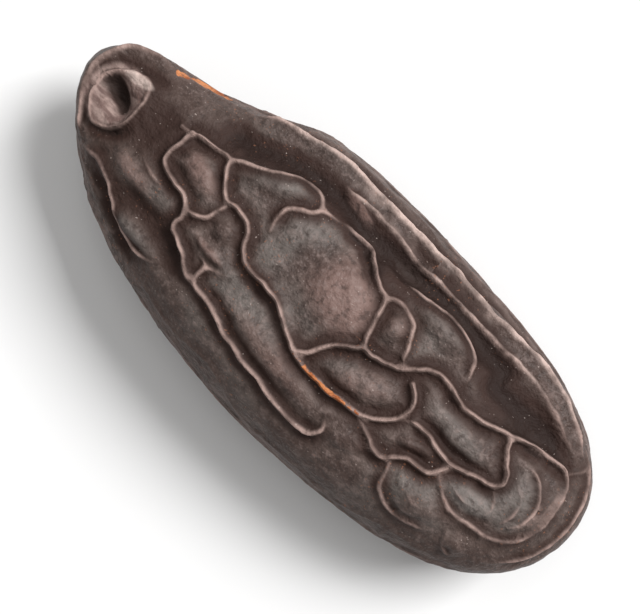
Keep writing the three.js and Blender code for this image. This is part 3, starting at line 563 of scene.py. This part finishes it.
def skin_tree():
    """Lays the folds and lobes on the form, one after the other, then the fine wrinkles."""
    group = bpy.data.node_groups.new("wrinkled_coat", "GeometryNodeTree")
    sizes = {
        "Folds": ("NodeSocketObject", folds), "Fold count": ("NodeSocketInt", fold_count),
        "Lobes": ("NodeSocketObject", lobes), "Rubs": ("NodeSocketObject", rubs),
        "Path step": ("NodeSocketFloat", 0.12), "Fade length": ("NodeSocketFloat", 1.6),
        "Waver": ("NodeSocketFloat", 0.17), "Waver size": ("NodeSocketFloat", 1.2),
        "Gather reach": ("NodeSocketFloat", 0.9), "Crest sharpness": ("NodeSocketFloat", 1.5),
        "Furrow depth": ("NodeSocketFloat", 0.38), "Furrow width": ("NodeSocketFloat", 0.65),
        "Wrinkle size": ("NodeSocketFloat", 1.0), "Wrinkle height": ("NodeSocketFloat", 0.09),
        "Pebble size": ("NodeSocketFloat", 0.8), "Pebble height": ("NodeSocketFloat", 0.04),
        "Line width": ("NodeSocketFloat", 0.13),
        "Rest level": ("NodeSocketFloat", -DROP + FLAT_CUT), "Seed": ("NodeSocketFloat", 3.0),
        "Material": ("NodeSocketMaterial", None),
    }
    face = group.interface
    face.new_socket("Geometry", in_out="INPUT", socket_type="NodeSocketGeometry")
    face.new_socket("Geometry", in_out="OUTPUT", socket_type="NodeSocketGeometry")
    for name, (kind, value) in sizes.items():
        socket = face.new_socket(name, in_out="INPUT", socket_type=kind)
        if value is not None and "Object" not in kind:
            socket.default_value = value
    t = Tree(group)
    given = {s.name: Wire(t, s) for s in t.node("NodeGroupInput").outputs if s.name}

    def distance_to(source, kind="EDGES", output="Distance"):
        """How far each point is from another geometry, or the nearest place on it."""
        return t.add("GeometryNodeProximity", {"target_element": kind}, {0: source}, output)

    def noise(size, detail=2.0, stretch=1.0, use="fine"):
        """Noise from about -0.5 to 0.5 with features of a size, drawn out along the bean."""
        x, y, z = t.parts(t.add("GeometryNodeInputPosition"))
        vector = t.vector(x / stretch + NOISE_SHIFTS[use], y + given["Seed"], z)
        values = {"Vector": vector, "Scale": size ** -1.0, "Detail": detail}
        return t.add("ShaderNodeTexNoise", values=values) - 0.5

    def paths(of, waver):
        """The lines of an object as smooth paths on the form, wavering, faded at their ends."""
        lines = t.add("GeometryNodeObjectInfo", values={"Object": given[of]}, output="Geometry")
        curve = t.add("GeometryNodeMeshToCurve", values={"Mesh": lines})
        smooth = t.add("GeometryNodeCurveSplineType", {"spline_type": "CATMULL_ROM"}, {0: curve})
        steps = {"Curve": smooth, "Length": given["Path step"]}
        curve = t.add("GeometryNodeResampleCurve", {"mode": "LENGTH"}, steps)
        run = t.add("GeometryNodeSplineParameter", output="Length")
        whole = t.add("GeometryNodeSplineLength", output="Length")
        start, end = t.named("start"), t.named("end")
        fade = given["Fade length"]
        rise = start + (1 - start) * (run / fade).smooth(0, 1)
        fall = end + (1 - end) * ((whole - run) / fade).smooth(0, 1)
        thin = (1 - t.named("swell")) * waver
        uneven = 1 + noise(given["Waver size"], use="high") * thin * UNEVEN_HIGH
        curve = t.stored(curve, "high", t.named("high") * rise.math("MINIMUM", fall) * uneven)
        narrow = 1 + noise(given["Waver size"], use="wide") * thin * UNEVEN_WIDE
        curve = t.stored(curve, "wide", t.named("wide") * narrow)
        line = t.add("GeometryNodeCurveToMesh", values={"Curve": curve})
        aside = [
            noise(given["Waver size"], use=axis) * given["Waver"] * waver * 2 for axis in "xyz"
        ]
        line = t.add("GeometryNodeSetPosition", values={"Geometry": line, "Offset": t.vector(*aside)})
        onto = distance_to(given["Geometry"], "FACES", "Position")
        return t.add("GeometryNodeSetPosition", values={"Geometry": line, "Position": onto})

    def looped(count, step, skin):
        """Runs step(skin, iteration) count times."""
        start = t.node("GeometryNodeRepeatInput")
        end = t.node("GeometryNodeRepeatOutput")
        start.pair_with_output(end)
        end.repeat_items.clear()
        end.repeat_items.new("GEOMETRY", "Skin")
        t.plug(count, start.inputs["Iterations"])
        t.plug(skin, start.inputs["Skin"])
        turn = Wire(t, start.outputs["Iteration"])
        t.plug(step(Wire(t, start.outputs["Skin"]), turn), end.inputs["Skin"])
        return Wire(t, end.outputs["Skin"])

    def sampled(source, name, index, kind="FLOAT", value=None):
        """A value of one point of another geometry."""
        values = {"Geometry": source, "Value": value or t.named(name, kind), "Index": index}
        return t.add("GeometryNodeSampleIndex", {"data_type": kind, "domain": "POINT"}, values)

    all_folds = paths("Folds", 1.0)

    def lay_fold(skin, turn):
        """Lays one fold: the highest crest and the deepest furrow stay, and swells add up."""
        # Sockets 2 and 3 of a Compare node are whole numbers, 0 and 1 are others
        mine = t.add(
            "FunctionNodeCompare", {"data_type": "INT", "operation": "EQUAL"},
            {2: t.named("fold", "INT"), 3: turn},
        )
        one = t.add("GeometryNodeSeparateGeometry", {"domain": "POINT"}, {0: all_folds, 1: mine})
        near = t.add("GeometryNodeSampleNearest", {"domain": "POINT"}, {0: one})
        high, wide = sampled(one, "high", near), sampled(one, "wide", near)
        swell = sampled(one, "swell", near)
        distance = distance_to(one)
        across = distance / wide
        sharp = (-(across ** given["Crest sharpness"])).math("EXPONENT")
        soft = (-(across * across)).math("EXPONENT")
        foot = (-(across * across / FOOT_SPREAD)).math("EXPONENT")
        aside = distance / given["Furrow width"]
        stands = high * (1 - swell)
        beside = (-(aside * aside)).math("EXPONENT")
        furrow = stands / CREST_USUAL * given["Furrow depth"] * beside
        crest_old, furrow_old, swell_old = t.parts(t.named("relief", "FLOAT_VECTOR"))
        relief = t.vector(
            crest_old.math("MAXIMUM", stands * (sharp * (1 - CREST_FOOT) + foot * CREST_FOOT)),
            furrow_old.math("MAXIMUM", furrow),
            swell_old + high * swell * soft,
        )
        on_line = distance / given["Line width"]
        full = (stands * LINE_GAIN).math("MINIMUM", 1)
        line = (-(on_line * on_line)).math("EXPONENT") * full
        skin = t.stored(skin, "relief", relief, "FLOAT_VECTOR")
        return t.stored(skin, "line", t.named("line").math("MAXIMUM", line))

    lobe_list = t.add("GeometryNodeObjectInfo", values={"Object": given["Lobes"]}, output="Geometry")
    place = t.add("GeometryNodeInputPosition")
    x, y, z = t.parts(place)

    def lay_lobe(skin, turn):
        """Adds one lobe, as high over the skin, with its tint for the colours."""
        centre = sampled(lobe_list, None, turn, "FLOAT_VECTOR", place)
        centre_x, centre_y, _ = t.parts(centre)
        long, broad, angle, high, pink = (
            sampled(lobe_list, name, turn) for name in ("long", "broad", "turn", "high", "pink")
        )
        cos, sin = angle.math("COSINE"), angle.math("SINE")
        off_x, off_y = x - centre_x, y - centre_y
        along = (off_x * cos + off_y * sin) / long
        across = (off_y * cos - off_x * sin) / broad
        away = (along * along + across * across).math("SQRT")
        out = high * (1 - away.smooth(LOBE_TOP, LOBE_END))
        skin = t.stored(skin, "pink", t.named("pink") + out / high * pink)
        return t.stored(skin, "lobe", t.named("lobe") + out)

    # The points of the skin gather towards the crests, which are thinner than its cells
    above = t.add(
        "FunctionNodeCompare", {"data_type": "FLOAT", "operation": "GREATER_THAN"},
        {0: t.named("high") * (1 - t.named("swell")), 1: CREST_LEAST},
    )
    crests = t.add("GeometryNodeSeparateGeometry", {"domain": "POINT"}, {0: all_folds, 1: above})
    pull = (distance_to(crests) / given["Gather reach"]).math("MINIMUM", 1) ** 0.5
    # Sockets 4 and 5 of a Mix node, and its output 1, are vectors
    gathered = t.add(
        "ShaderNodeMix", {"data_type": "VECTOR"},
        {0: pull, 4: distance_to(crests, output="Position"), 5: place}, output=1,
    )
    skin = t.add(
        "GeometryNodeSetPosition", values={"Geometry": given["Geometry"], "Position": gathered}
    )
    skin = t.stored(skin, "relief", (0.0, 0.0, 0.0), "FLOAT_VECTOR")
    skin = looped(given["Fold count"], lay_fold, skin)
    skin = looped(len(LOBES), lay_lobe, skin)

    crest, furrow, swell = t.parts(t.named("relief", "FLOAT_VECTOR"))
    top = z.smooth(*TOP_IN)
    from_rest = ((x / REST_CALM[0]) ** 2 + (y / REST_CALM[1]) ** 2).math("SQRT")
    calm = from_rest.smooth(REST_FLAT, 1)
    still = top + (1 - top) * calm

    # Fine wrinkles run along the sides of the bean, and the grain is the same all ways
    wrinkle = noise(given["Wrinkle size"], WRINKLE_DETAIL, WRINKLE_STRETCH)
    ridged = 1 - (wrinkle * WRINKLE_SHARP).math("ABSOLUTE").math("MINIMUM", 1)
    on_sides = 1 - FACE_SMOOTHER * z.smooth(*FACE_IN)
    wrinkles = ridged * ridged * given["Wrinkle height"] * on_sides
    fine = wrinkles + noise(given["Pebble size"]) * given["Pebble height"] * 2
    quiet = 1 - crest.smooth(*ON_CREST)
    lobe = t.named("lobe")
    fine = fine * (FINE_ON_CRESTS + (1 - FINE_ON_CRESTS) * quiet)
    out = (crest - furrow + swell + fine) * still + lobe * top

    # Marks for the colours of the coat
    skin = t.stored(skin, "line", t.named("line") * still)
    skin = t.stored(skin, "deep", (furrow - swell) * DEEP_GAIN * still)
    skin = t.stored(skin, "fine", ridged)
    rub_paths = paths("Rubs", 0.0)
    near_rub = t.add("GeometryNodeSampleNearest", {"domain": "POINT"}, {0: rub_paths})
    across = distance_to(rub_paths) / sampled(rub_paths, "wide", near_rub)
    rub = sampled(rub_paths, "high", near_rub) * (1 - across.smooth(*RUB_EDGE))
    skin = t.stored(skin, "rub", rub)

    normal = t.add("GeometryNodeInputNormal")
    push = t.add("ShaderNodeVectorMath", {"operation": "SCALE"}, {0: normal, "Scale": out})
    skin = t.add("GeometryNodeSetPosition", values={"Geometry": skin, "Offset": push})
    x, y, z = t.parts(place)
    rested = t.vector(x, y, z.math("MAXIMUM", given["Rest level"]))
    skin = t.add("GeometryNodeSetPosition", values={"Geometry": skin, "Position": rested})
    skin = t.add("GeometryNodeRealizeInstances", values={0: skin})
    skin = t.add("GeometryNodeSetMaterial", values={0: skin, "Material": given["Material"]})
    t.node("NodeGroupOutput", values={0: skin})
    return group, {name: value for name, (_, value) in sizes.items()}


# The seed coat's finish
# Near-black brown skin with a satin sheen. The crests are paler, partly from wear and partly as a
# painted highlight, which is strongest on the keel and on one part of the scar's rim. Some lobes are
# a little redder, partly as painted light, and others greyer with a painted sheen. A painted sheen
# also lies on parts of the face, and painted shade darkens the sloping sides, the furrows, the trough
# and the scar's hollow. The layer under the coat shows orange where it is rubbed through, and as
# small flecks.

SKINS = {
    "dark skin": (0.05, 0.032, 0.027),
    "brown skin": (0.085, 0.06, 0.052),
    "dark scar": (0.17, 0.11, 0.098),
    "pale scar": (0.37, 0.27, 0.24),
    # wear and a painted highlight, strongest on the keel
    "crest wear and highlight": (0.31, 0.218, 0.192),
    "keel wear and highlight": (0.48, 0.36, 0.32),
    "dark under-layer": (0.2, 0.055, 0.018),
    "pale under-layer": (0.44, 0.17, 0.068),
}
# Colours laid over the skin one after the other, as how strong and which
COATS = {
    # painted shade on the sloping sides
    "flank": (0.65, (0.042, 0.025, 0.02)),
    # a painted sheen
    "painted_sheen": (0.65, (0.118, 0.106, 0.097)),
    # a painted grey sheen on some lobes
    "painted grey sheen": (0.75, (0.165, 0.148, 0.137)),
    # the lobes' reddish tone, partly painted light
    "pink lobe and painted light": (0.62, (0.2, 0.125, 0.108)),
    "streak": (0.3, (0.14, 0.1, 0.088)),
    "pale mottle": (0.4, (0.22, 0.165, 0.15)),
    "dark mottle": (0.55, (0.03, 0.02, 0.017)),
    "grain": (0.25, (0.24, 0.18, 0.165)),
    "fine wrinkle": (0.35, (0.26, 0.19, 0.17)),
    # painted shade in the furrows, the trough and the scar's hollow
    "furrow": (0.85, (0.026, 0.0125, 0.0095)),
    "trough": (0.75, (0.013, 0.0065, 0.005)),
    "scar hollow": (0.8, (0.03, 0.019, 0.016)),
    # a painted highlight
    "painted rim highlight": (1, (0.6, 0.48, 0.43)),
    "rust fleck": (0.5, (0.24, 0.1, 0.055)),
    "pale speck": (0.5, (0.4, 0.33, 0.3)),
}

MILLIMETRE = 0.001
SPECULAR = 0.16
ROUGHNESS = 0.5
GRAIN_RELIEF = 0.1 * MILLIMETRE
GRAIN_STRENGTH = 0.85

# Levels over the widest one, and a y towards the keel, between which a zone comes in or goes out
PAINTED_SHEEN_IN = (2.6, 4.4)
FLANK_IN, FLANK_OUT = (-1.5, 1.5), (2.4, 4.2)
UPPER_IN = (0, 1)
SIDES_OUT = (1, 3)
KEEL_IN = (5, 5.6)

# The scar, and the part of its rim with a painted highlight: the middle, and the reach along x and y
SCAR, SCAR_REACH = (-15.3, 0), (1.6, 1.75)
RIM, RIM_REACH = (-14.85, 1.42), (1.1, 0.36)
RIM_LEAN = 0.45


def seed_coat():
    """The coat's material, which reads the marks that the skin's tree left on the points."""
    material = bpy.data.materials.new("tonka_coat")
    material.use_nodes = True
    material.node_tree.nodes.clear()
    t = Tree(material.node_tree)

    def mark(name):
        """A value that the skin's tree stored on the points."""
        return t.add("ShaderNodeAttribute", {"attribute_name": name}, output="Fac")

    def mixed(share, low, high):
        """From one colour to another, which are the Mix node's sockets 6 and 7."""
        values = {0: share, 6: low, 7: high}
        return t.add("ShaderNodeMix", {"data_type": "RGBA"}, values, output=2)

    def colour(name):
        return (*SKINS[name], 1)

    def over(skin, where, name):
        """The skin with a coat of colour over it, where there is any."""
        strength, laid = COATS[name]
        return mixed(where * strength, skin, (*laid, 1))

    place = t.add("ShaderNodeTexCoord", output="Object")
    values = {0: place, "Scale": 1 / MILLIMETRE}
    millimetres = t.add("ShaderNodeVectorMath", {"operation": "SCALE"}, values)

    def noise(size, detail=2.0, shrink=1.0):
        """Noise from 0 to 1 with features of a size, drawn out along the bean by a small shrink."""
        x, y, z = t.parts(millimetres)
        values = {"Vector": t.vector(x * shrink, y, z), "Scale": 1 / size, "Detail": detail}
        return t.add("ShaderNodeTexNoise", values=values)

    line, deep, rub, fine = mark("line"), mark("deep"), mark("rub"), mark("fine")
    x, y, over_floor = t.parts(millimetres)
    z = over_floor - (DROP - FLAT_CUT)
    broad, medium, mottle = noise(5.0), noise(1.3, 4.0), noise(0.42, 4.0)
    streak, grain, pore = noise(0.35, 3.0, 0.3), noise(0.14, 3.0), noise(0.32, 2.0)
    raised = 1 - deep.smooth(0, 0.3)
    upper = z.smooth(*UPPER_IN)

    # The skin, a painted sheen and the lobes' tones
    skin = mixed(medium.smooth(0.35, 0.7), colour("dark skin"), colour("brown skin"))
    # Painted shade: the sloping sides round the widest level are darkened.
    flank = z.smooth(*FLANK_IN) * (1 - z.smooth(*FLANK_OUT))
    skin = over(skin, flank, "flank")
    # Painted sheen: a paler grey in patches on the raised skin, most on the top of the face.
    painted_sheen = broad.smooth(0.42, 0.62) * raised * (0.2 + 0.8 * z.smooth(*PAINTED_SHEEN_IN))
    skin = over(skin, painted_sheen, "painted_sheen")
    tint = mark("pink")
    # Painted grey sheen on the lobes whose tint is below zero.
    grey = (-tint).smooth(0, 0.8) * (0.2 + medium * 1.3)
    skin = over(skin, grey.math("MINIMUM", 1), "painted grey sheen")
    # The lobes' own reddish tone, also placed as painted light where the lobes are lit.
    pink = (tint.math("MAXIMUM", 0) ** 0.7 + (medium - 0.5) * 0.8).smooth(0.1, 1)
    skin = over(skin, pink, "pink lobe and painted light")

    # Streaks, mottles and grain
    skin = over(skin, streak.smooth(0.5, 0.75) * raised, "streak")
    pale_mottle = mottle.smooth(0.52, 0.7) * raised * (1 - flank * 0.5)
    skin = over(skin, pale_mottle, "pale mottle")
    skin = over(skin, mottle.smooth(0.48, 0.32), "dark mottle")
    skin = over(skin, grain.smooth(0.5, 0.75) * raised, "grain")
    on_sides = 1 - z.smooth(*SIDES_OUT)
    skin = over(skin, fine.smooth(0.7, 1) * on_sides, "fine wrinkle")

    # Painted shade in the furrows and hollows, then the scar, with painted shade in its hollow
    not_pink = 1 - tint.smooth(0.2, 0.7)
    # Painted shade: the skin is darkened in the furrows beside the crests, less on pink lobes.
    skin = over(skin, deep.smooth(0.08, 0.42) * (0.3 + 0.7 * not_pink), "furrow")
    # Painted shade in the trough inside the keel and the other deep hollows.
    skin = over(skin, deep.smooth(0.5, 0.85) * not_pink, "trough")
    scar_x, scar_y = (x - SCAR[0]) / SCAR_REACH[0], (y - SCAR[1]) / SCAR_REACH[1]
    from_scar = (scar_x ** 2 + scar_y ** 2).math("SQRT")
    scar = (1 - from_scar.smooth(0.85, 1.1)) * (1 - deep.smooth(0.85, 1.35)) * upper
    scar_skin = mixed(streak.smooth(0.35, 0.65), colour("dark scar"), colour("pale scar"))
    skin = mixed(scar * (0.2 + mottle * 0.9), skin, scar_skin)
    # Painted shade in the scar's slit and bowl.
    skin = over(skin, deep.smooth(0.95, 1.5) * upper, "scar hollow")

    # The pale lines along the crests, from wear and a painted highlight, a painted highlight on part
    # of the scar's rim, and flecks
    # The crests are paler, partly from wear and partly as a painted highlight, most of all on the
    # keel.
    wear_and_highlight = line.smooth(0.1, 0.9) * (0.3 + 0.75 * medium.smooth(0.32, 0.68))
    wear_and_highlight = (wear_and_highlight * (0.6 + mottle * 0.8)).math("MINIMUM", 0.9)
    wear_and_highlight_skin = mixed(y.smooth(*KEEL_IN), colour("crest wear and highlight"), colour("keel wear and highlight"))
    skin = mixed(wear_and_highlight, skin, wear_and_highlight_skin)
    # A painted highlight on the keel side of the scar's rim.
    rim_x, rim_y = (x - RIM[0]) / RIM_REACH[0], (y - RIM[1]) / RIM_REACH[1]
    rim_highlight = 1 - (rim_x ** 2 + (rim_y - rim_x * RIM_LEAN) ** 2).smooth(0.2, 1)
    rim_highlight = rim_highlight * (0.1 + 1.3 * mottle) * 0.85
    skin = over(skin, rim_highlight.math("MINIMUM", 1), "painted rim highlight")
    fleck = noise(0.18, 1.0).smooth(0.68, 0.74) * broad.smooth(0.45, 0.62)
    skin = over(skin, fleck, "rust fleck")
    speck = noise(0.13, 0.0).smooth(0.8, 0.85) * medium.smooth(0.4, 0.6)
    skin = over(skin, speck, "pale speck")

    # The layer under the coat, where it is rubbed bare
    bare = (rub + (mottle - 0.5) * 2.2).smooth(0.5, 0.75)
    fibres = (streak * 0.7 + grain * 0.3).smooth(0.38, 0.62)
    layer = mixed(fibres, colour("dark under-layer"), colour("pale under-layer"))
    skin = mixed(bare, skin, layer)

    height = grain * 0.5 + pore + mottle * 0.9
    values = {"Strength": GRAIN_STRENGTH, "Distance": GRAIN_RELIEF, "Height": height}
    bump = t.add("ShaderNodeBump", values=values)
    rough = ROUGHNESS + 0.2 * (mottle - 0.5) + 0.2 * deep.smooth(0, 0.4)
    values = {"Base Color": skin, "Roughness": rough, "Normal": bump, "Specular IOR Level": SPECULAR}
    shader = t.add("ShaderNodeBsdfPrincipled", values=values)
    t.node("ShaderNodeOutputMaterial", values={"Surface": shader})
    return material


def made_real(piece, group, values):
    """piece's mesh as the tree makes it, as a plain mesh."""
    modifier = piece.modifiers.new("coat", "NODES")
    modifier.node_group = group
    for socket in group.interface.items_tree:
        if socket.in_out == "INPUT" and values.get(socket.name) is not None:
            modifier[socket.identifier] = values[socket.name]
    bpy.context.view_layer.update()
    seen = piece.evaluated_get(bpy.context.evaluated_depsgraph_get())
    mesh = bpy.data.meshes.new_from_object(seen)
    piece.modifiers.remove(modifier)
    return mesh


tree, values = skin_tree()
values["Material"] = seed_coat()
skin = made_real(seed, tree, values)
for helper in (folds, lobes, rubs):
    bpy.data.objects.remove(helper)

# Into metres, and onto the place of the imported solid
# The skin's box has the same middle as the solid's, and its flat spot the same level.

skin.transform(Matrix.Scale(MILLIMETRE, 4))
solid_low, solid_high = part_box("tonka_bean")
spread = np.array([v.co for v in skin.vertices])
low, high = Vector(spread.min(0)), Vector(spread.max(0))
shift = (solid_low + solid_high - low - high) / 2
shift.z = solid_low.z - low.z
skin.transform(Matrix.Translation(shift))
skin.shade_smooth()
seed.data = skin
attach(seed, "root")
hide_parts("tonka_bean")

# The floor, the soft light and the view from above
# A plain pale floor under the bean, one large soft light from the side that the photograph's
# light comes from, and a fill from above. The view looks straight down with the bean's narrow
# end at the upper left, as it lies in the photograph.

FLOOR = 1.2  # half the floor's side
FLOOR_GREY = 0.66
AXIS_TURN = math.radians(46)  # the long axis falls this far below the picture's horizontal
LENS = 85
SENSOR = 36
PICTURE = (640, 614)  # pixels
FILLS = 0.76  # the bean's length as a share of the picture's diagonal
CLIP = (0.01, 10)
ROOM_COLOUR = (1, 0.99, 0.98, 1)
ROOM_LIGHT = 0.43
FLOOR_ROUGHNESS = 0.9


def plain(name, grey, roughness):
    """A grey material without a pattern."""
    material = bpy.data.materials.new(name)
    material.use_nodes = True
    surface = material.node_tree.nodes["Principled BSDF"].inputs
    surface["Base Color"].default_value = (grey, grey, grey, 1)
    surface["Roughness"].default_value = roughness
    return material


floor_mesh = bpy.data.meshes.new("floor")
floor_mesh.from_pydata(
    [(-FLOOR, -FLOOR, 0), (FLOOR, -FLOOR, 0), (FLOOR, FLOOR, 0), (-FLOOR, FLOOR, 0)],
    [], [(0, 1, 2, 3)],
)
floor_mesh.materials.append(plain("floor", FLOOR_GREY, FLOOR_ROUGHNESS))
floor = linked("floor", floor_mesh)

picture_right = Vector((math.cos(AXIS_TURN), math.sin(AXIS_TURN), 0))
picture_up = Vector((-math.sin(AXIS_TURN), math.cos(AXIS_TURN), 0))
middle = (solid_low + solid_high) / 2


def soft_light(name, right, up, height, size, watts):
    """A square light, placed by the picture's directions, that faces the bean."""
    light = bpy.data.lights.new(name, "AREA")
    light.size, light.energy = size, watts
    lamp = linked(name, light)
    lamp.location = middle + picture_right * right + picture_up * up + Vector((0, 0, height))
    lamp.rotation_euler = (middle - lamp.location).to_track_quat("-Z", "Y").to_euler()


soft_light("side_light", right=0.62, up=0.24, height=0.74, size=0.42, watts=14.2)
soft_light("top_light", right=-0.1, up=0.3, height=1.1, size=0.7, watts=2.4)

world = bpy.data.worlds.new("room")
world.use_nodes = True
background = world.node_tree.nodes["Background"].inputs
background["Color"].default_value = ROOM_COLOUR
background["Strength"].default_value = ROOM_LIGHT
bpy.context.scene.world = world
bpy.context.scene.view_settings.view_transform = "Standard"

camera = linked("camera", bpy.data.cameras.new("camera"))
camera.data.lens, camera.data.sensor_width = LENS, SENSOR
camera.data.clip_start, camera.data.clip_end = CLIP
diagonal = SENSOR * math.hypot(*PICTURE) / max(PICTURE)
camera_height = (solid_high.x - solid_low.x) * LENS / (diagonal * FILLS)
camera.location = middle + Vector((0, 0, camera_height))
turn = Matrix((picture_right, picture_up, (0, 0, 1))).transposed()
camera.rotation_euler = turn.to_euler()
bpy.context.scene.camera = camera
